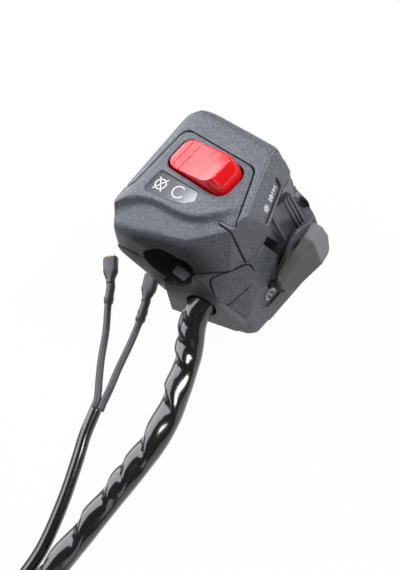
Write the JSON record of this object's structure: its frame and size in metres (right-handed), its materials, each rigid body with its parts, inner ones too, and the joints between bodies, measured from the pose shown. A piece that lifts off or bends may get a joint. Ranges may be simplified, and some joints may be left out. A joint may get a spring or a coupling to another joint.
{
  "type": "handlebar switch cluster",
  "caption": "Right hand handlebar switch cluster with a stop rocker, lamp slider and start lever in a split clamp shell, with its sleeved wiring harness and booted leads",
  "frame": {"origin": "on the handlebar axis, midway along the clamp bore", "axes": "+X outboard along the handlebar, +Y along the switch face to the rocker's low end, +Z out of the switch face; the underside is flat and lies on the table"},
  "size_m": [0.323, 0.1183, 0.0645],
  "materials": {
    "shell": "fine spark grain, charcoal",
    "legend": "satin silver grey insert",
    "steel": "zinc plated",
    "module": "natural phenolic",
    "contact": "bare copper alloy",
    "rocker": "moulded gloss red",
    "knob": "moulded gloss black",
    "carrier": "natural nylon",
    "lever": "fine grain warm grey",
    "grommet": "moulded rubber",
    "sleeve": "crinkled gloss black sleeve",
    "tie": "nylon strap",
    "connector": "natural nylon housing",
    "lead": "satin dark grey insulation",
    "terminal": "bare brass"
  },
  "bodies": {
    "housing": {"upper_shell": "shell", "face_cover": "shell", "lower_shell": "shell", "legend_plate": "legend", "blanking_cover": "shell", "clamp_screws": "steel", "kill_base": "module", "kill_contacts": "contact", "kill_pin": "steel", "slider_track": "knob", "slider_base": "module", "slider_contacts": "contact", "starter_base": "module", "starter_contacts": "contact", "starter_pin": "steel", "starter_spring": "steel", "module_screws": "steel", "earth_strip": "steel", "harness_grommet": "grommet", "harness_clip": "grommet", "harness_run": "sleeve", "harness_joint": "grommet", "harness_coil": "sleeve", "coil_tie": "tie", "harness_connector": "connector", "branch_sleeve": "sleeve", "lead_a": "lead", "lead_b": "lead", "boot_a": "lead", "boot_b": "lead", "terminal_a": "terminal", "terminal_b": "terminal"},
    "rocker": {"kill_rocker": "rocker", "rocker_contact": "contact"},
    "slider": {"slider_knob": "knob", "slider_carrier": "carrier", "slider_contact": "contact"},
    "starter": {"starter_lever": "lever", "starter_bridge": "contact"}
  },
  "joints": [
    {"name": "stop_rocker_tilt", "type": "hinge", "parent": "housing", "child": "rocker", "pos_m": [0.0079, 0.004, 0.0196], "axis": [1, 0, 0], "range_deg": [0, 14]},
    {"name": "lamp_slide", "type": "slide", "parent": "housing", "child": "slider", "axis": [1, 0, 0], "range_m": [0, 0.008]},
    {"name": "start_lever_press", "type": "hinge", "parent": "housing", "child": "starter", "pos_m": [-0.002, -0.0262, -0.0165], "axis": [0, 0, 1], "range_deg": [0, 3.5], "stiffness_Nm_per_rad": 0.1, "springref_deg": -8.59}
  ]
}
